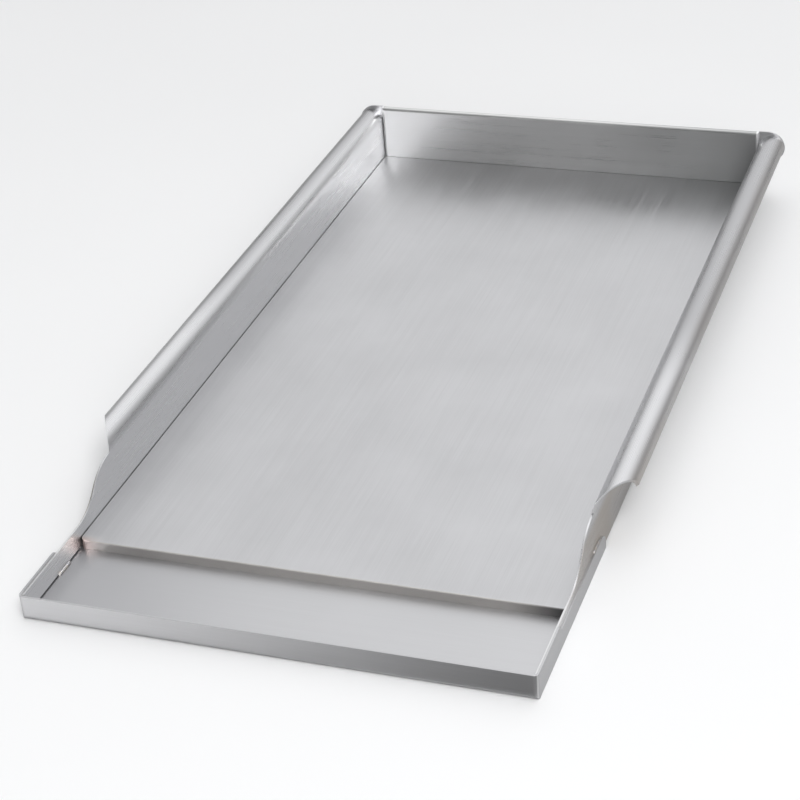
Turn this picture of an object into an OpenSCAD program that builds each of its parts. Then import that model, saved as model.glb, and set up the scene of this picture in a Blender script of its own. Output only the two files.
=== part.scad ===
// Flat top griddle: a drop-on cooking plate with rolled side rails, a rear
// splash wall and a grease trough along the front. It is a welded assembly
// with no moving parts.
//
// Frame: X across, Y from the trough to the rear wall, Z up. The origin is the
// middle of the footprint, on the surface that the griddle rests on.

/* [Griddle plate] */
// Width of the cooking plate
plate_w = 305; // [250:1:600]
// Length of the cooking plate, from the trough to the rear wall
plate_l = 560; // [450:1:700]
// Thickness of the cooking plate
plate_t = 6.35; // [5:0.05:10]
// Radius on the plate's front top edge
plate_edge_r = 1; // [0.5:0.1:2]
// Radius of the plate's front corners
plate_corner_r = 4; // [1:0.5:8]

/* [Sheet metal] */
// Thickness of the folded sheet
sheet = 1.2; // [1:0.1:1.6]
// Gap between the plate and the walls around it
gap = 0.4; // [0.3:0.1:1.5]
// Outer radius of an ordinary fold
fold_r = 2.4; // [1.8:0.1:3]

/* [Walls and rails] */
// Height of the rear wall above the plate
rear_h = 42.5; // [39.5:0.1:49]
// Depth of the rear wall's folded-back edges
return_d = 3.5; // [3.2:0.1:8]
// Length of the rear wall's flange under the plate
rear_flange_l = 22; // [10:1:40]
// Height of the top of the rails above the plate
rail_h = 39.5; // [33:0.1:42.5]
// Outer radius of the rolled rails
rail_r = 9.8; // [8:0.1:12]
// How far the roll wraps past its highest line, in degrees
rail_wrap = 86; // [60:1:120]
// Distance from the plate's front edge to where the rail starts at the wall
rail_start = 52; // [30:1:90]
// How far the rail's slanted end runs back for each millimetre outward
rail_slant = 1.8; // [0:0.1:2.5]

/* [Scooped front of the side walls] */
// Height of the low part of the side walls above the plate
low_h = 8; // [7:0.5:12]
// Distance from the plate's front edge to where the scoop ends
scoop_end = 2; // [0:1:10]
// Gap under the side walls' feet, over the trough's floor
foot_gap = 0.9; // [0.5:0.1:1.5]

/* [Grease trough] */
// Length of the trough in front of the plate
trough_l = 70.5; // [50:0.5:120]
// Height of the front lip above the resting surface
lip_h = 16.5; // [16:0.5:30]
// Outer radius of the fold between the lip and the trough floor
lip_fold_r = 3; // [2.5:0.5:4]
// Outer radius of the trough's front corners, seen from above
corner_r = 3; // [2.5:0.5:8]
// Height of the trough's side flanges beside the plate
flange_h = 12; // [10:0.5:13.5]
// How far the trough floor and its flanges run back under the plate
floor_under = 74; // [50:1:120]
// Distance from the plate's front edge to the step down in the flanges
flange_step = 24; // [10:1:40]
// Radius of the flanges' rounded rear ends
flange_end_r = 9; // [4:0.5:10]

/* [Welds] */
// Width of the bead that joins the plate to a side wall
bead_w = 5; // [4:0.5:8]
// Height of the beads under the plate
bead_h = 1; // [0.6:0.1:1]
// Length of one stitch
stitch_l = 25; // [10:1:40]
// Number of stitches along each side of the plate
side_stitches = 5; // [2:1:8]
// Number of stitches along the rear flange and along the trough floor
cross_stitches = 4; // [2:1:6]
// Leg of the small fillet welds in the trough
fillet = 1.8; // [1:0.1:2.5]
// Length of a tack weld
tack_l = 15; // [6:1:20]
// Distance from the plate's front edge to the middle of the trough's tacks
tack_at = 22; // [10:1:40]

/* [Hidden] */
$fn = 96;
far = 2000;   // longer than any cut needs to be
over = 1;     // how far a cut runs past the face it starts from
wedge_steps = 6;   // straight steps around a wedge, which reaches past what it cuts

overall_l = sheet + trough_l + plate_l + gap + return_d + sheet;

// Places along Y, from the front
y_lip = -overall_l / 2;            // front face of the lip
y_trough = y_lip + sheet;          // inside of the lip
y_plate = y_trough + trough_l;     // front edge of the plate
y_floor_end = y_plate + floor_under;
y_plate_end = y_plate + plate_l;
y_rear = y_plate_end + gap;        // front face of the rear wall
y_wall_end = y_rear + return_d;    // rear ends of the walls and rails

// Places along X, from the middle plane
x_wall = plate_w / 2 + gap;        // inner face of a side wall
x_flange = x_wall + sheet;         // outer face of a side wall
x_side = x_flange + sheet;         // outer face of a trough flange

// Places along Z, from the resting surface
z_plate = sheet;                   // underside of the plate
z_top = z_plate + plate_t;         // cooking surface
z_rear = z_top + rear_h;           // top of the rear wall
z_roll = z_top + rail_h - rail_r;  // centre line of a rail
z_low = z_top + low_h;             // top of the low part of a side wall

// Extrudes a (y, z) outline along X, from x to x + width.
module along_x(x, width)
    translate([x, 0, 0]) rotate([90, 0, 90]) linear_extrude(width) children();

// Extrudes an (x, z) outline along Y, from y to y + length.
module along_y(y, length)
    translate([0, y + length, 0]) rotate([90, 0, 0]) linear_extrude(length) children();

// The part on +X and its mirror image on -X.
module both_sides() {
    children();
    mirror([1, 0, 0]) children();
}

// A wedge of a circle around the origin, from one angle to another.
module wedge(radius, from, to)
    polygon([[0, 0],
             for (i = [0:wedge_steps])
                 let (a = from + (to - from) * i / wedge_steps) radius * [cos(a), sin(a)]]);

// A rectangle from (x, y) with one rounded corner, at its low x and low y.
module one_round_corner(x, y, w, h, r)
    difference() {
        translate([x, y]) square([w, h]);
        difference() {
            translate([x - over, y - over]) square(r + over);
            translate([x + r, y + r]) circle(r);
        }
    }

// The area under an S-shaped edge of two equal arcs that drops from (0, rise)
// to (-run, 0), and under its level stretch past the top.
module under_s_curve(run, rise) {
    r = (run * run + rise * rise) / (4 * rise);
    difference() {
        translate([-run, 0]) square([run / 2, rise]);
        translate([-run, r]) circle(r);
    }
    intersection() {
        translate([-run / 2, 0]) square([run / 2, rise]);
        translate([0, rise - r]) circle(r);
    }
}

// Cooking plate: level, with a softened front edge and front corners.
module griddle_plate()
    color("#b4b4b3")
    intersection() {
        translate([0, 0, z_plate])
            linear_extrude(plate_t)
            difference() {
                translate([-plate_w / 2, y_plate]) square([plate_w, plate_l]);
                both_sides() difference() {
                    translate([plate_w / 2 - plate_corner_r, y_plate - over])
                        square([plate_corner_r + over, plate_corner_r + over]);
                    translate([plate_w / 2 - plate_corner_r, y_plate + plate_corner_r])
                        circle(plate_corner_r);
                }
            }
        along_x(-plate_w / 2, plate_w)
            translate([0, z_plate + plate_t]) mirror([0, 1])
            one_round_corner(y_plate, 0, plate_l, plate_t, plate_edge_r);
    }

// Cross-section of a side wall: an upright leg that rolls over outward, past
// the roll's highest line at 90 degrees and on down by rail_wrap.
module wall_section() {
    translate([0, sheet]) square([sheet, z_roll - sheet]);
    translate([rail_r, z_roll]) difference() {
        circle(rail_r);
        circle(rail_r - sheet);
        wedge(2 * rail_r, 180, 360 + 90 - rail_wrap);
    }
}

// What the scoop takes off the leg of a side wall, as a (y, z) outline.
module scoop_outline() {
    run = rail_start - scoop_end;
    y_scoop = y_plate + rail_start;
    difference() {
        translate([y_lip - over, z_low]) square([y_scoop - y_lip + over, z_roll - z_low]);
        translate([y_scoop, z_low]) under_s_curve(run, z_roll - z_low);
    }
}

// What the slanted end takes off the roll, for everything above the leg.
module rail_end_cut() {
    reach = 3 * rail_r;   // past the roll's outer side and its top
    difference() {
        translate([0, y_plate + rail_start, z_roll - rail_r])
            linear_extrude(reach)
            polygon([[-over, -far], [reach, -far], [reach, reach * rail_slant], [0, 0], [-over, 0]]);
        translate([-far, -far, 0]) cube([far + sheet + over, 2 * far, z_roll]);
    }
}

// Side wall on +X: one folded sheet with its rolled rail and scooped front.
module side_wall() {
    front = y_trough + corner_r - sheet;
    translate([x_wall, 0, 0])
    difference() {
        along_y(front, y_wall_end - front) wall_section();
        along_x(-over, sheet + 2 * over) scoop_outline();
        rail_end_cut();
        translate([-over, y_trough, 0]) cube([sheet + 2 * over, trough_l, z_plate + foot_gap]);
    }
}

module left_side_wall() color("#c3c5c8") mirror([1, 0, 0]) side_wall();
module right_side_wall() color("#b0aeab") side_wall();

// Plan of the rear wall, inset by a distance from its outer faces.
module rear_plan(inset) {
    w = x_wall - inset;
    both_sides() translate([w, y_rear + inset]) mirror([1, 0])
        one_round_corner(0, 0, w, far, fold_r - inset);
}

// Side view of the rear wall, inset by a distance from its outer faces.
module rear_profile(inset)
    translate([0, z_rear - inset]) mirror([0, 1])
    one_round_corner(y_rear + inset, 0, far, z_rear, fold_r - inset);

// The space inside the rear wall's outer faces, less an inset.
module rear_block(inset)
    intersection() {
        translate([0, 0, -over]) linear_extrude(z_rear + 2 * over) rear_plan(inset);
        along_x(-x_wall, 2 * x_wall) rear_profile(inset);
    }

// Rear wall: a sheet with folded-back sides and top, and a flange at its foot
// that runs forward under the plate.
module rear_wall()
    color("#c9cacb") {
        difference() {
            rear_block(0);
            rear_block(sheet);
            translate([-far / 2, y_wall_end, -far / 2]) cube(far);
            translate([-far / 2, -far / 2, -far]) cube(far);
            translate([-far / 2, y_rear + sheet, -over]) cube([far, far, z_top + over]);
        }
        translate([-x_wall, y_rear - rear_flange_l, 0])
            cube([2 * x_wall, rear_flange_l + sheet / 2, sheet]);
    }

// Side view of the trough: its lip, its floor and its side flanges.
module trough_outline() {
    step_r = lip_h - flange_h;
    translate([y_lip, 0]) square([y_floor_end - y_lip, sheet]);
    translate([y_plate - flange_step, lip_h]) rotate(180)
        one_round_corner(0, 0, trough_l - flange_step + sheet, lip_h, step_r);
    translate([y_floor_end, flange_h]) rotate(180)
        one_round_corner(0, 0, y_floor_end - y_lip, flange_h, flange_end_r);
}

// The space inside the trough's outer faces, less an inset.
module trough_block(inset) {
    w = x_side - inset;
    intersection() {
        along_x(-w, 2 * w) one_round_corner(y_lip + inset, inset, far, lip_h, lip_fold_r - inset);
        linear_extrude(lip_h + 2 * over)
            both_sides() translate([w, y_lip + inset]) mirror([1, 0])
            one_round_corner(0, 0, w, far, corner_r - inset);
    }
}

// Grease trough: one folded pan. Its floor runs back under the plate and its
// side flanges stand outside the side walls.
module grease_trough()
    color("#bcbdbe")
    difference() {
        intersection() {
            trough_block(0);
            along_x(-x_side, 2 * x_side) trough_outline();
        }
        trough_block(sheet);
    }

// Plate welded over the rear end of a rail, level with the rear wall's top.
module rail_end_cap() {
    cap_h = z_rear - z_roll;
    along_y(y_wall_end, sheet) translate([x_wall, z_roll]) {
        translate([rail_r, 0]) circle(rail_r);
        square([2 * rail_r - cap_h, cap_h]);
        intersection() {
            square([2 * rail_r, cap_h]);
            translate([2 * rail_r - cap_h, 0]) circle(cap_h);
        }
    }
}

module left_rail_end_cap() color("#a9aaad") mirror([1, 0, 0]) rail_end_cap();
module right_rail_end_cap() color("#a9aaad") rail_end_cap();

// Cross-section of a flat bead: the part of a circle below the x axis.
module bead_section(w, h) {
    r = (w * w / 4 + h * h) / (2 * h);
    intersection() {
        translate([0, r - h]) circle(r);
        translate([-w, -h]) square([2 * w, h]);
    }
}

// Centres of count stitches spread evenly from a to b.
function spread(a, b, count) = [for (i = [0:count - 1]) a + (b - a) * (i + 0.5) / count];

// Stitches under the plate's long edges, across the gap to the side walls'
// lower edges.
module side_stitch_welds()
    color("#8d8a86")
    both_sides()
    for (y = spread(y_floor_end, y_rear - rear_flange_l, side_stitches))
        along_y(y - stitch_l / 2, stitch_l)
        translate([x_flange - bead_w / 2, z_plate]) bead_section(bead_w, bead_h);

// Stitches in the corner between a flange's edge and the plate's underside.
module cross_stitch_welds(y, side)
    for (x = spread(-plate_w / 2, plate_w / 2, cross_stitches))
        along_x(x - stitch_l / 2, stitch_l)
        translate([y, z_plate]) polygon([[0, 0], [side * bead_h, 0], [0, -bead_h]]);

module rear_flange_welds() color("#8d8a86") cross_stitch_welds(y_rear - rear_flange_l, -1);
module trough_floor_welds() color("#8d8a86") cross_stitch_welds(y_floor_end, 1);

// Upright beads over the seams between the rear wall and the side walls. They
// stop a bead's height below the rails' end caps.
module rear_corner_welds()
    color("#8d8a86")
    both_sides()
    translate([x_wall, y_wall_end, z_top])
    linear_extrude(z_roll - rail_r - z_top - bead_h)
    mirror([0, 1]) bead_section(2 * sheet, bead_h);

// Tacks between the feet of the side walls and the trough floor.
module trough_tack_welds()
    color("#d2d2d0")
    both_sides()
    along_y(y_plate - tack_at - tack_l / 2, tack_l)
    translate([x_wall, sheet]) polygon([[0, 0], [-fillet, 0], [0, fillet]]);

// Tacks on the rear ends of the trough's flanges, against the side walls.
module trough_flange_welds()
    color("#8d8a86")
    both_sides()
    along_y(y_floor_end - flange_end_r - tack_l, tack_l)
    translate([x_flange, flange_h]) polygon([[0, 0], [sheet, 0], [0, sheet]]);

griddle_plate();
left_side_wall();
right_side_wall();
rear_wall();
grease_trough();
left_rail_end_cap();
right_rail_end_cap();
side_stitch_welds();
rear_flange_welds();
trough_floor_welds();
rear_corner_welds();
trough_tack_welds();
trough_flange_welds();
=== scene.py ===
"""Looks of a flat top griddle: brushed steel, rippled weld beads, floor, light and camera.

Everything is in metres, in the CAD frame: X across, Y from the trough to the rear wall, Z up.
"""

import math

import bmesh
import bpy
from mathutils import Matrix, Vector


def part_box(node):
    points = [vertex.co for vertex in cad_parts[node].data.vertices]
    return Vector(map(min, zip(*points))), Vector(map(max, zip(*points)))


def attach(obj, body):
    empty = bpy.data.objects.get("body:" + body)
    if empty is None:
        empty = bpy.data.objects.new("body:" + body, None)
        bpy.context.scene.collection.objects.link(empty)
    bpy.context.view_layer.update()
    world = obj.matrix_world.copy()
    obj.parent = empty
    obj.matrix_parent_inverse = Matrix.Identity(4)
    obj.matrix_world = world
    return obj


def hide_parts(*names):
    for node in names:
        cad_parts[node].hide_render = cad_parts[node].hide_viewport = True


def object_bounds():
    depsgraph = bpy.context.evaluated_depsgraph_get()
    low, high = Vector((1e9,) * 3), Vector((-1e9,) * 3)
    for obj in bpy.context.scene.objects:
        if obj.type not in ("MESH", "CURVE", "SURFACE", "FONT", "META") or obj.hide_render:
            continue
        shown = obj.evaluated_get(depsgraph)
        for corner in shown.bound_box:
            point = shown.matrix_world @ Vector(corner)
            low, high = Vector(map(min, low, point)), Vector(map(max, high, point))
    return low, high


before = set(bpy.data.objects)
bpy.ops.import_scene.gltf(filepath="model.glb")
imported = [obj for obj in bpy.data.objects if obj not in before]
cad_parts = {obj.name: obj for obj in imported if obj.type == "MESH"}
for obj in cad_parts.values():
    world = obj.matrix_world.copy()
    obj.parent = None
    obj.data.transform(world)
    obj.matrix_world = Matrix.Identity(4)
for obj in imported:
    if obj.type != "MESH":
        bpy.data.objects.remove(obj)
cad_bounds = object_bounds()
MM = 0.001

# ---------------------------------------------------------------- places, from the frame
plate_low, plate_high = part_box("griddle_plate")
trough_low, trough_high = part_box("grease_trough")
wall_low, wall_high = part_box("right_side_wall")
rear_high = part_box("rear_wall")[1]
plate_size = plate_high - plate_low
plate_middle = (plate_low + plate_high) / 2
rail_width = wall_high.x - wall_low.x

# ---------------------------------------------------------------- camera
VIEW_AZIMUTH = 21.52      # degrees to the right of straight on
VIEW_ELEVATION = 30.86    # degrees above the horizon
VIEW_ROLL = -4.92         # degrees
VIEW_DISTANCE = 1.3734    # from the aim point
AIM_ACROSS = -0.0478      # from the plate's middle, as a share of its width
AIM_ALONG = -0.1505       # the same, as a share of its length
LENS = 93.88 * MM         # focal length
SENSOR = 36 * MM


def add_camera():
    aim = Vector((plate_middle.x + AIM_ACROSS * plate_size.x,
                  plate_middle.y + AIM_ALONG * plate_size.y,
                  plate_high.z))
    azimuth = math.radians(VIEW_AZIMUTH)
    elevation = math.radians(VIEW_ELEVATION)
    back = Vector((math.sin(azimuth) * math.cos(elevation),
                   -math.cos(azimuth) * math.cos(elevation),
                   math.sin(elevation)))
    data = bpy.data.cameras.new("view_camera")
    data.sensor_width = SENSOR / MM
    data.lens = LENS / MM
    camera = bpy.data.objects.new("view_camera", data)
    turn = back.to_track_quat("Z", "Y").to_matrix() @ Matrix.Rotation(math.radians(VIEW_ROLL), 3, "Z")
    camera.matrix_world = Matrix.Translation(aim + VIEW_DISTANCE * back) @ turn.to_4x4()
    bpy.context.scene.collection.objects.link(camera)
    bpy.context.scene.camera = camera


# ---------------------------------------------------------------- shader helpers
MIX_A = 6                   # a colour Mix node's sockets
MIX_B = 7
MIX_RESULT = 2
class Tree:
    """A material's or world's node tree, with short ways to add nodes and links."""

    def __init__(self, owner):
        owner.use_nodes = True
        self.nodes = owner.node_tree.nodes
        self.links = owner.node_tree.links

    def add(self, kind, **settings):
        node = self.nodes.new("ShaderNode" + kind)
        for name, value in settings.items():
            setattr(node, name, value)
        return node

    def feed(self, socket, value):
        """Gives an input socket another node's output, or a constant."""
        if isinstance(value, bpy.types.NodeSocket):
            self.links.new(value, socket)
        else:
            socket.default_value = value

    def math(self, operation, a, b=0.0, clamp=False):
        node = self.add("Math", operation=operation, use_clamp=clamp)
        self.feed(node.inputs[0], a)
        self.feed(node.inputs[1], b)
        return node.outputs[0]

    def spread(self, value, low, high, to_low=0.0, to_high=1.0):
        """Maps a value smoothly from one range to another."""
        node = self.add("MapRange", interpolation_type="SMOOTHSTEP")
        for name, item in (("Value", value), ("From Min", low), ("From Max", high),
                           ("To Min", to_low), ("To Max", to_high)):
            self.feed(node.inputs[name], item)
        return node.outputs[0]

    def times(self, a, b):
        return self.math("MULTIPLY", a, b)

    def most(self, *values):
        """The greatest of some values."""
        greatest = values[0]
        for value in values[1:]:
            greatest = self.math("MAXIMUM", greatest, value)
        return greatest

    def mix(self, share, a, b):
        node = self.add("Mix", data_type="RGBA")
        self.feed(node.inputs["Factor"], share)
        self.feed(node.inputs[MIX_A], a)
        self.feed(node.inputs[MIX_B], b)
        return node.outputs[MIX_RESULT]

    def grey(self, value):
        node = self.add("CombineColor")
        for channel in node.inputs:
            self.feed(channel, value)
        return node.outputs[0]

    def place(self):
        """The point's place in the frame, and its three parts."""
        coordinates = self.add("TexCoord").outputs["Object"]
        parts = self.add("SeparateXYZ")
        self.feed(parts.inputs[0], coordinates)
        return coordinates, parts.outputs

    def noise(self, coordinates, cell, detail=2.0):
        """Noise whose cells have the given size along X, Y and Z, in metres."""
        mapping = self.add("Mapping")
        self.feed(mapping.inputs["Vector"], coordinates)
        mapping.inputs["Scale"].default_value = [1 / c for c in cell]
        node = self.add("TexNoise")
        self.feed(node.inputs["Vector"], mapping.outputs[0])
        node.inputs["Scale"].default_value = 1.0
        node.inputs["Detail"].default_value = detail
        return node.outputs["Fac"]


def rgb(red, green, blue):
    return (red, green, blue, 1.0)


# ---------------------------------------------------------------- brushed steel
GRAIN_FINE = 0.45 * MM      # width of the finest brush marks
GRAIN_COARSE = 3.5 * MM     # width of the coarser streaks
GRAIN_RUN = 60 * MM         # length of a fine mark
STREAK_RUN = 160 * MM       # length of a coarse streak
CLOUD = 70 * MM             # size of the soft mottling
EDGE_ROUNDING = 0.35 * MM   # how far light rolls over a sheared edge
EDGE_SAMPLES = 4
NOISE_LOW = 0.3             # most noise lies between these two
NOISE_HIGH = 0.7
FINE_SHARE = 0.65           # share of the fine marks in the grain
GRAIN_SHARE = 0.55          # share of the grain in the tone; the rest is mottling
DARKENING = 0.16            # how much darker and lighter the tone gets, at full contrast
LIGHTENING = 0.12
SMOOTHER = 0.05             # how much the grain takes off the roughness, and adds to it
ROUGHER = 0.06
SMEAR = 0.02                # how much the mottling changes the roughness
ANISOTROPY = 0.45
BUMP_STRENGTH = 0.35        # at full contrast
BUMP_DEPTH = 0.01 * MM

ALONG_X = 0
ALONG_Y = 1
QUARTER_TURN = 0.25         # turns the highlights' spread from along the marks to across them


def cell(width, run, axis):
    size = [width, width, width]
    size[axis] = run
    return size


def steel(name, colour, roughness, axis, contrast=1.0, stain_and_light=None):
    """Brushed stainless steel whose marks run along an axis.

    The function for stains and painted light, called as (tree, parts, cloud), returns the share of
    stains, painted highlights and painted shade at each point, and their colour. It gets the point's
    place in parts, and the mottling.
    """
    material = bpy.data.materials.new(name)
    tree = Tree(material)
    shader = tree.nodes["Principled BSDF"]
    coordinates, parts = tree.place()
    fine = tree.noise(coordinates, cell(GRAIN_FINE, GRAIN_RUN, axis), detail=3.0)
    coarse = tree.noise(coordinates, cell(GRAIN_COARSE, STREAK_RUN, axis))
    cloud = tree.noise(coordinates, (CLOUD, CLOUD, CLOUD), detail=3.0)

    grain = tree.math("ADD", tree.times(fine, FINE_SHARE), tree.times(coarse, 1 - FINE_SHARE))
    marks = tree.math("ADD", tree.times(grain, GRAIN_SHARE), tree.times(cloud, 1 - GRAIN_SHARE))
    dark = rgb(*[c * (1 - DARKENING * contrast) for c in colour])
    light = rgb(*[min(1.0, c * (1 + LIGHTENING * contrast)) for c in colour])
    tone = tree.mix(tree.spread(marks, NOISE_LOW, NOISE_HIGH), dark, light)
    if stain_and_light:
        share, stain_and_light_colour = stain_and_light(tree, parts, cloud)
        tone = tree.mix(share, tone, stain_and_light_colour)
    tree.feed(shader.inputs["Base Color"], tone)

    rough = tree.spread(grain, NOISE_LOW, NOISE_HIGH, roughness - SMOOTHER, roughness + ROUGHER)
    smear = tree.spread(cloud, 0.35, 0.65, -SMEAR, SMEAR)
    tree.feed(shader.inputs["Roughness"], tree.math("ADD", rough, smear))
    shader.inputs["Metallic"].default_value = 1.0
    shader.inputs["Anisotropic"].default_value = ANISOTROPY
    shader.inputs["Anisotropic Rotation"].default_value = QUARTER_TURN
    along = tree.add("CombineXYZ")
    along.inputs[axis].default_value = 1.0
    tree.feed(shader.inputs["Tangent"], along.outputs[0])

    bevel = tree.add("Bevel", samples=EDGE_SAMPLES)
    bevel.inputs["Radius"].default_value = EDGE_ROUNDING
    bump = tree.add("Bump")
    bump.inputs["Strength"].default_value = BUMP_STRENGTH * contrast
    bump.inputs["Distance"].default_value = BUMP_DEPTH
    tree.feed(bump.inputs["Height"], grain)
    tree.feed(bump.inputs["Normal"], bevel.outputs[0])
    tree.feed(shader.inputs["Normal"], bump.outputs[0])
    return material


# ---------------------------------------------------------------- stains, painted highlights and painted shade
HEAT_TINT = rgb(0.66, 0.52, 0.48)
EDGE_STAIN = rgb(0.74, 0.71, 0.68)
# near black, on the plate's front edge towards its right end
NEAR_BLACK = rgb(0.05, 0.05, 0.055)
# brown tint, partly painted shade, on the walls' outsides and the rails' outer sides
BROWN_TINT_AND_SHADE = rgb(0.52, 0.44, 0.35)
# painted shade on the rails towards the rear
PAINTED_RAIL_SHADE = rgb(0.40, 0.40, 0.41)
# painted shade at the rear right of the plate and towards the right end of the rear wall
PAINTED_SHADE_GREY = rgb(0.26, 0.27, 0.27)
# painted shade on the left of the trough's floor
PAINTED_TROUGH_SHADE = rgb(0.30, 0.30, 0.32)
# painted light: highlights on the rear wall's folds and the lip's corners, and lighter wall fronts
PAINTED_LIGHT = rgb(0.95, 0.95, 0.95)

STRONG = 0.9                # share of a stain where it nearly hides the steel
TINT_DEPTH = 7 * MM         # how far the heat tint reaches in from the plate's front edge
TINT_RUN = 18 * MM          # how far it spreads from the plate's front left corner
EDGE_FULL = 0.2 * MM        # behind the plate's front edge, where the stain starts to fade
EDGE_GONE = 0.9 * MM        # and where it ends
NEAR_BLACK_RUN = 45 * MM          # how far the front edge darkens to near black from its right end
REAR_SHADE_RUN = 110 * MM        # how far the painted shade reaches forward from the rear wall
# shares of the painted shade on the plate and on the rear wall
REAR_SHADE_ON_PLATE = 0.35
REAR_SHADE_ON_WALL = 0.5


def plate_stain_and_shade(tree, parts, cloud):
    """Heat tint on the front left corner, stains on the front edge going near black towards its right
    end, and painted shade at the rear right.
    """
    inward = tree.math("SUBTRACT", parts["Y"], plate_low.y)
    from_left = tree.math("SUBTRACT", parts["X"], plate_low.x)
    from_right = tree.math("SUBTRACT", plate_high.x, parts["X"])
    ragged = tree.times(tree.math("SUBTRACT", cloud, 0.5), TINT_DEPTH)
    near = tree.spread(tree.math("ADD", inward, ragged), 0.0, TINT_DEPTH, 1.0, 0.0)
    corner = tree.times(near, tree.spread(from_left, 0.0, TINT_RUN, STRONG, 0.0))
    edge = tree.spread(inward, EDGE_FULL, EDGE_GONE, STRONG, 0.0)
    # front edge stain, going near black towards the right end
    edge_colour = tree.mix(tree.spread(from_right, 0.0, NEAR_BLACK_RUN, STRONG, 0.0), EDGE_STAIN, NEAR_BLACK)
    front_colour = tree.mix(corner, edge_colour, HEAT_TINT)
    # painted shade at the rear right
    to_rear = tree.spread(parts["Y"], plate_high.y - REAR_SHADE_RUN, plate_high.y, 0.0, REAR_SHADE_ON_PLATE)
    right_shade = tree.times(tree.spread(parts["X"], plate_middle.x, plate_high.x), to_rear)
    rear_half = tree.spread(parts["Y"], plate_low.y, plate_middle.y)
    return tree.most(corner, edge, right_shade), tree.mix(rear_half, front_colour, PAINTED_SHADE_GREY)


WALL_INSIDE = 0.6 * MM      # from a wall's inner face, where the browning and painted shade start
WALL_OUTSIDE = 1.0 * MM     # and where it is full
LEAST_BROWN_AND_SHADE = 0.35          # share of the browning and painted shade that is left from the middle to the rear
RAIL_SHADE_FROM = 0.3             # where the painted shade on the rails starts, as a share of the plate's length
# share of the painted shade on the rails
RAIL_SHADE_SHARE = 0.7
# share of the painted light on the walls towards the front, alongside the trough
FRONT_LIGHT_SHARE = 0.8
FRONT_LIGHT_FULL = 10 * MM         # in front of the plate's front edge
FRONT_LIGHT_GONE = 20 * MM         # behind it


def wall_tint_and_light(tree, parts, cloud):
    """Rails darker towards the rear (painted shade), walls browned outside (partly brown tint, partly
    painted shade), and walls lighter towards the front, alongside the trough (painted light).
    """
    outward = tree.math("ABSOLUTE", parts["X"])
    low_down = tree.spread(parts["Z"], wall_high.z - rail_width, wall_high.z - rail_width / 2, 1.0, 0.0)
    outside = tree.spread(outward, wall_low.x + WALL_INSIDE, wall_low.x + WALL_OUTSIDE)
    outer_side = tree.spread(outward, wall_high.x - 0.4 * rail_width, wall_high.x)
    to_front = tree.spread(parts["Y"], wall_low.y, plate_middle.y, 1.0, LEAST_BROWN_AND_SHADE)
    # brown tint and painted shade, low on the walls' outsides and on the rails' outer sides
    browned_and_shaded = tree.times(tree.most(tree.times(low_down, outside), outer_side), to_front)
    patchy = tree.times(browned_and_shaded, tree.spread(cloud, NOISE_LOW, NOISE_HIGH, 0.5, 0.95))
    on_rail = tree.spread(outward, wall_low.x + 0.1 * rail_width, wall_low.x + 0.5 * rail_width)
    rail_shade_start = plate_low.y + RAIL_SHADE_FROM * plate_size.y
    # painted shade on the rails towards the rear
    rail_shade = tree.times(on_rail, tree.spread(parts["Y"], rail_shade_start, plate_middle.y, 0.0, RAIL_SHADE_SHARE))
    # painted light on the walls towards the front
    front_light = tree.spread(parts["Y"], plate_low.y - FRONT_LIGHT_FULL, plate_low.y + FRONT_LIGHT_GONE, FRONT_LIGHT_SHARE, 0.0)
    return tree.most(patchy, rail_shade, front_light), tree.mix(front_light, tree.mix(patchy, PAINTED_RAIL_SHADE, BROWN_TINT_AND_SHADE), PAINTED_LIGHT)


FOLD = 2.4 * MM             # radius of the folds at the ends of the rear wall
# share of the painted highlight on the folds
FOLD_HIGHLIGHT = 0.95


def rear_painted_light(tree, parts, cloud):
    """Painted highlights on the folds at both ends of the rear wall, and painted shade towards its right
    end.
    """
    outward = tree.math("ABSOLUTE", parts["X"])
    # painted highlight on the folds
    painted_highlight = tree.spread(outward, rear_high.x - FOLD, rear_high.x - FOLD / 2, 0.0, FOLD_HIGHLIGHT)
    # painted shade towards the right end
    right_shade = tree.spread(parts["X"], plate_middle.x, rear_high.x, 0.0, REAR_SHADE_ON_WALL)
    return tree.most(painted_highlight, right_shade), tree.mix(painted_highlight, PAINTED_SHADE_GREY, PAINTED_LIGHT)


CORNER_FROM = 1.6 * MM      # from the end of the lip, where the painted highlight on its corner starts
CORNER_FULL = 0.6 * MM      # and where it is full
LIP_FULL = 1 * MM           # behind the lip's front face, where the painted highlight starts to fade
LIP_GONE = 3 * MM           # where it ends, and the painted shade on the trough's floor starts
# where the painted shade on the trough's floor is full, and its share
TROUGH_SHADE_FULL = 9 * MM
TROUGH_SHADE_SHARE = 0.36


def trough_painted_light(tree, parts, cloud):
    """Painted highlights on the corners at both ends of the lip, and painted shade on the left of the
    trough's floor.
    """
    outward = tree.math("ABSOLUTE", parts["X"])
    end = tree.spread(outward, trough_high.x - CORNER_FROM, trough_high.x - CORNER_FULL)
    on_lip = tree.spread(parts["Y"], trough_low.y + LIP_FULL, trough_low.y + LIP_GONE, STRONG, 0.0)
    # painted highlight on the lip's corners
    painted_highlight = tree.times(end, on_lip)
    # painted shade on the left of the trough's floor
    to_left = tree.spread(parts["X"], trough_low.x, plate_middle.x, TROUGH_SHADE_SHARE, 0.0)
    inside = tree.spread(parts["Y"], trough_low.y + LIP_GONE, trough_low.y + TROUGH_SHADE_FULL)
    return tree.most(painted_highlight, tree.times(to_left, inside)), tree.mix(painted_highlight, PAINTED_TROUGH_SHADE, PAINTED_LIGHT)


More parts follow.
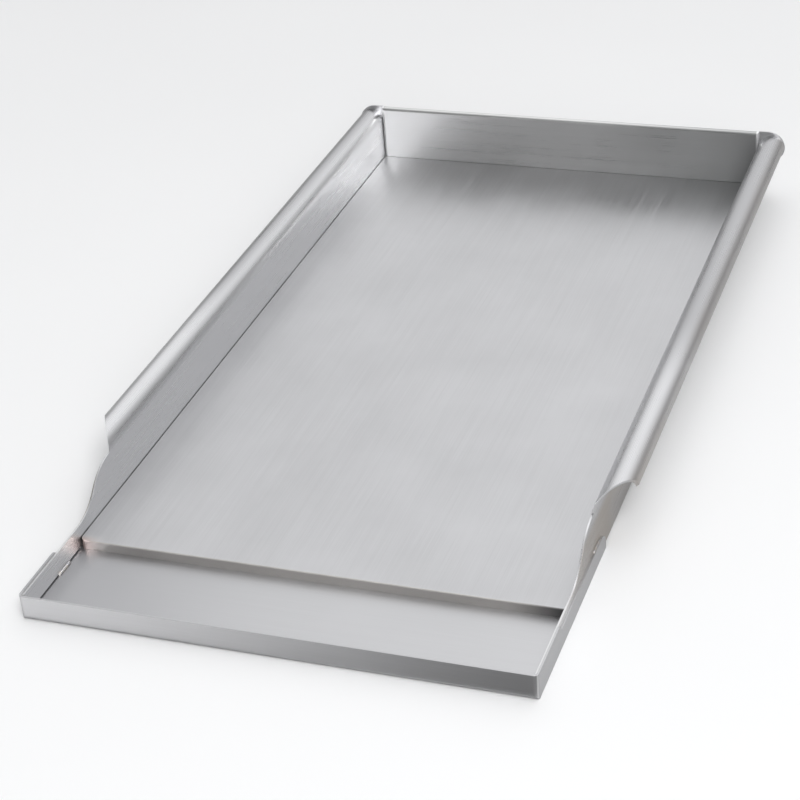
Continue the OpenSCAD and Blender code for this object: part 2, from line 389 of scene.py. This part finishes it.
# ---------------------------------------------------------------- the sheets' materials
PLATE_STEEL = steel("plate_steel", (0.62, 0.62, 0.63), 0.40, ALONG_Y, contrast=0.55, stain_and_light=plate_stain_and_shade)
WALL_STEEL = steel("wall_steel", (0.72, 0.72, 0.73), 0.30, ALONG_Y, contrast=0.22, stain_and_light=wall_tint_and_light)
REAR_STEEL = steel("rear_steel", (0.73, 0.73, 0.725), 0.32, ALONG_X, contrast=0.22, stain_and_light=rear_painted_light)
TROUGH_STEEL = steel("trough_steel", (0.62, 0.62, 0.63), 0.36, ALONG_X, contrast=0.3, stain_and_light=trough_painted_light)
CAP_STEEL = steel("cap_steel", (0.62, 0.62, 0.63), 0.38, ALONG_X, contrast=0.3)

for node_name, material in (("griddle_plate", PLATE_STEEL),
                            ("left_side_wall", WALL_STEEL),
                            ("right_side_wall", WALL_STEEL),
                            ("rear_wall", REAR_STEEL),
                            ("grease_trough", TROUGH_STEEL),
                            ("left_rail_end_cap", CAP_STEEL),
                            ("right_rail_end_cap", CAP_STEEL)):
    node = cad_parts[node_name]
    for material_slot in node.material_slots:
        material_slot.material = material


# ---------------------------------------------------------------- weld beads
SAME_POINT = 0.001 * MM
RIPPLE = 1.3 * MM           # distance between the ripples of a bead
RIPPLE_DEPTH = 0.22         # how deep the ripples cut, as a share of the bead
STEPS_PER_RIPPLE = 6
ARC_STEPS = 8
LEAST_STEPS = 12            # along one bead
BLUNTNESS = 10              # power of the curve that rounds a bead's ends
END_SIZE = 0.05             # size left at a bead's very end, before its root is taken
PATCH = 2 * MM              # size of the heat-coloured patches
CLEAN_PATCH = 9 * MM        # size of the patches that are cleaned of colour
BLUED = rgb(0.46, 0.46, 0.48)
STRAW = rgb(0.60, 0.56, 0.51)
CLEANED = rgb(0.62, 0.61, 0.60)
BEAD_BUMP = 0.05 * MM


def weld_material():
    """Bare weld metal: faint blue and straw heat colours on a rough grey bead."""
    material = bpy.data.materials.new("weld_metal")
    tree = Tree(material)
    shader = tree.nodes["Principled BSDF"]
    coordinates = tree.place()[0]
    patch = tree.noise(coordinates, (PATCH, PATCH, PATCH), detail=3.0)
    cleaned = tree.noise(coordinates, (CLEAN_PATCH, CLEAN_PATCH, CLEAN_PATCH))
    heat = tree.mix(tree.spread(patch, 0.35, 0.65), BLUED, STRAW)
    tree.feed(shader.inputs["Base Color"], tree.mix(tree.spread(cleaned, 0.4, 0.7), heat, CLEANED))
    tree.feed(shader.inputs["Roughness"], tree.spread(patch, NOISE_LOW, NOISE_HIGH, 0.32, 0.55))
    shader.inputs["Metallic"].default_value = 1.0
    bump = tree.add("Bump")
    bump.inputs["Strength"].default_value = 0.4
    bump.inputs["Distance"].default_value = BEAD_BUMP
    tree.feed(bump.inputs["Height"], patch)
    tree.feed(shader.inputs["Normal"], bump.outputs[0])
    return material


def solids_of(node_name):
    """The boxes of a node's separate solids, as (low, high) pairs."""
    mesh = bmesh.new()
    mesh.from_mesh(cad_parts[node_name].data)
    bmesh.ops.remove_doubles(mesh, verts=mesh.verts, dist=SAME_POINT)
    waiting = set(mesh.verts)
    boxes = []
    while waiting:
        group = [waiting.pop()]
        for vertex in group:
            for edge in vertex.link_edges:
                other = edge.other_vert(vertex)
                if other in waiting:
                    waiting.remove(other)
                    group.append(other)
        low = Vector([min(v.co[i] for v in group) for i in range(3)])
        high = Vector([max(v.co[i] for v in group) for i in range(3)])
        boxes.append((low, high))
    mesh.free()
    return boxes


def flat_profile():
    """Half-oval bead on a face: (across from -1 to 1, height from 0 to 1)."""
    angles = [math.pi * i / ARC_STEPS for i in range(ARC_STEPS + 1)]
    return [(math.cos(a), math.sin(a)) for a in angles]


def corner_profile():
    """Quarter-round bead in a corner: (along one leg, along the other), each from 0 to 1."""
    angles = [math.pi / 2 * i / ARC_STEPS for i in range(ARC_STEPS + 1)]
    return [(0.0, 0.0)] + [(math.cos(a), math.sin(a)) for a in angles]


def swell(place, length):
    """Size of a bead at a place along it: ripples, and rounded ends."""
    phase = (place / RIPPLE) % 1.0
    ripple = 1 - RIPPLE_DEPTH * (1 - math.sin(math.pi * phase))
    middle = 2 * place / length - 1
    return ripple * math.sqrt(max(END_SIZE, 1 - abs(middle) ** BLUNTNESS))


def add_bead(mesh, start, along, length, first, second, profile):
    """Adds one closed rippled bead to a mesh. first and second are its cross-section's two arms."""
    count = max(LEAST_STEPS, round(length / RIPPLE * STEPS_PER_RIPPLE))
    rings = []
    for i in range(count + 1):
        place = length * i / count
        size = swell(place, length)
        centre = start + along * place
        rings.append([mesh.verts.new(centre + size * (a * first + b * second)) for a, b in profile])
    around = len(profile)
    for ring, following in zip(rings, rings[1:]):
        for k in range(around):
            n = (k + 1) % around
            mesh.faces.new((ring[k], ring[n], following[n], following[k]))
    mesh.faces.new(rings[0][::-1])
    mesh.faces.new(rings[-1])


def weld_beads(node_name, run_axis, arms, profile):
    """Replaces a weld node with rippled beads, one in each of its solids' boxes.

    arms(low, high) gives the seam's place across the run, and the cross-section's two arms.
    """
    mesh = bmesh.new()
    along = Vector([1.0 if i == run_axis else 0.0 for i in range(3)])
    for low, high in solids_of(node_name):
        seam, first, second = arms(low, high)
        seam[run_axis] = low[run_axis]
        add_bead(mesh, seam, along, high[run_axis] - low[run_axis], first, second, profile)
    bmesh.ops.recalc_face_normals(mesh, faces=mesh.faces)
    data = bpy.data.meshes.new(node_name + "_beads")
    mesh.to_mesh(data)
    mesh.free()
    data.shade_smooth()
    data.materials.append(WELD_METAL)
    piece = bpy.data.objects.new(node_name + "_beads", data)
    bpy.context.scene.collection.objects.link(piece)
    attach(piece, "root")
    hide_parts(node_name)


def hanging(axis):
    """A flat bead under a face, as wide as its box along an axis."""
    def arms(low, high):
        middle = (low + high) / 2
        seam = Vector((middle.x, middle.y, high.z))
        first = Vector((0.0, 0.0, 0.0))
        first[axis] = (high[axis] - low[axis]) / 2
        return seam, first, Vector((0.0, 0.0, low.z - high.z))
    return arms


def behind(low, high):
    """A flat bead on the rear face of the walls."""
    seam = Vector(((low.x + high.x) / 2, low.y, low.z))
    return seam, Vector(((high.x - low.x) / 2, 0.0, 0.0)), Vector((0.0, high.y - low.y, 0.0))


def wall_corner(outward):
    """A fillet in the corner between a side wall and the level face below it.

    outward is True where the bead is outside the wall, and False where it is inside.
    """
    def arms(low, high):
        right = (low.x + high.x) > 0
        at_low = right == outward
        seam = Vector((low.x if at_low else high.x, 0.0, low.z))
        reach = high.x - low.x
        first = Vector((reach if at_low else -reach, 0.0, 0.0))
        return seam, first, Vector((0.0, 0.0, high.z - low.z))
    return arms


def under_edge(rearward):
    """A fillet under the plate, against the edge of a sheet. rearward: it lies behind that edge."""
    def arms(low, high):
        seam = Vector((0.0, low.y if rearward else high.y, high.z))
        reach = high.y - low.y
        first = Vector((0.0, reach if rearward else -reach, 0.0))
        return seam, first, Vector((0.0, 0.0, low.z - high.z))
    return arms


X_AXIS, Y_AXIS, Z_AXIS = range(3)
WELD_METAL = weld_material()
weld_beads("side_stitch_welds", Y_AXIS, hanging(X_AXIS), flat_profile())
weld_beads("rear_flange_welds", X_AXIS, under_edge(False), corner_profile())
weld_beads("trough_floor_welds", X_AXIS, under_edge(True), corner_profile())
weld_beads("rear_corner_welds", Z_AXIS, behind, flat_profile())
weld_beads("trough_tack_welds", Y_AXIS, wall_corner(False), corner_profile())
weld_beads("trough_flange_welds", Y_AXIS, wall_corner(True), corner_profile())

# ---------------------------------------------------------------- floor and light
FLOOR_SIZE = 12.0
FLOOR_GAP = 0.1 * MM        # keeps the floor off the faces that rest on it
FLOOR_MOTTLE = 0.3          # size of the floor's soft mottling
GLOSSY_FLOOR_TONE = 0.62            # painted shade: tone of the floor as polished metal sees it
LIP_REFLECTION_LEFT = 1.0         # the same in front of the lip, at its left and right ends
LIP_REFLECTION_RIGHT = 0.22
LIP_REFLECTION_FADE = 5 * MM


def add_floor():
    """A pale floor. Polished metal sees it greyer, and in front of the lip darker to the right: painted
    shade, seen in reflections only, standing in for studio cards around the griddle."""
    level = cad_bounds[0][2] - FLOOR_GAP
    bpy.ops.mesh.primitive_plane_add(size=FLOOR_SIZE, location=(0, 0, level))
    floor = bpy.context.object
    floor.name = "floor"
    material = bpy.data.materials.new("pale_floor")
    tree = Tree(material)
    shader = tree.nodes["Principled BSDF"]
    coordinates, parts = tree.place()
    mottle = tree.noise(coordinates, (FLOOR_MOTTLE, FLOOR_MOTTLE, FLOOR_MOTTLE))
    pale = tree.mix(mottle, rgb(0.92, 0.92, 0.92), rgb(0.95, 0.95, 0.95))
    glossy = tree.add("LightPath").outputs["Is Glossy Ray"]
    # painted shade in the floor's reflections, darker towards the lip's right end
    lip_reflection_tone = tree.spread(parts["X"], trough_low.x, trough_high.x, LIP_REFLECTION_LEFT, LIP_REFLECTION_RIGHT)
    past_lip = tree.spread(parts["Y"], trough_low.y - LIP_REFLECTION_FADE, trough_low.y)
    reflected_tone = tree.mix(past_lip, tree.grey(lip_reflection_tone), rgb(GLOSSY_FLOOR_TONE, GLOSSY_FLOOR_TONE, GLOSSY_FLOOR_TONE))
    tree.feed(shader.inputs["Base Color"], tree.mix(glossy, pale, reflected_tone))
    shader.inputs["Roughness"].default_value = 0.9
    shader.inputs["Specular IOR Level"].default_value = 0.1
    floor.data.materials.append(material)


ROOM_LEVEL = 0.32
ROOM_LEAST = 0.02
ROOM_COLOUR = rgb(0.985, 0.99, 1.0)
# Soft boxes of the room, as (direction, brightness, degrees at which it has faded to nothing).
ROOM_BOXES = (
    (Vector((0.0, 0.75, 0.72)), 0.76, 52.0),      # above and behind the griddle, seen in its plate
    (Vector((0.36, -0.83, 0.43)), 5.0, 20.0),     # beside the camera, seen in the rear left corner
    (Vector((0.1, 0.1, 1.0)), 0.8, 40.0),         # overhead, seen along the rails
)
SHADE = (Vector((0.05, -0.9, 0.42)), -0.5, 24.0)   # a dark part of the room, in front


def add_room():
    world = bpy.data.worlds.new("studio")
    bpy.context.scene.world = world
    tree = Tree(world)
    direction = tree.add("TexCoord").outputs["Generated"]
    level = ROOM_LEVEL
    for towards, brightness, fade in (*ROOM_BOXES, SHADE):
        dot = tree.add("VectorMath", operation="DOT_PRODUCT")
        tree.feed(dot.inputs[0], direction)
        dot.inputs[1].default_value = towards.normalized()
        lobe = tree.spread(dot.outputs["Value"], math.cos(math.radians(fade)), 1.0, 0.0, brightness)
        level = tree.math("ADD", level, lobe)
    background = tree.nodes["Background"]
    tree.feed(background.inputs["Strength"], tree.most(level, ROOM_LEAST))
    background.inputs["Color"].default_value = ROOM_COLOUR


KEY_PLACE = Vector((1.0, -1.4, 1.9))    # it points at the frame's origin
KEY_SIZE = 0.9
KEY_POWER = 20                          # watts


def add_key_light():
    data = bpy.data.lights.new("key_light", "AREA")
    data.shape = "DISK"
    data.size = KEY_SIZE
    data.energy = KEY_POWER
    light = bpy.data.objects.new("key_light", data)
    light.location = KEY_PLACE
    light.rotation_euler = KEY_PLACE.to_track_quat("Z", "Y").to_euler()
    bpy.context.scene.collection.objects.link(light)


add_camera()
add_floor()
add_room()
add_key_light()
bpy.context.scene.view_settings.view_transform = "Standard"
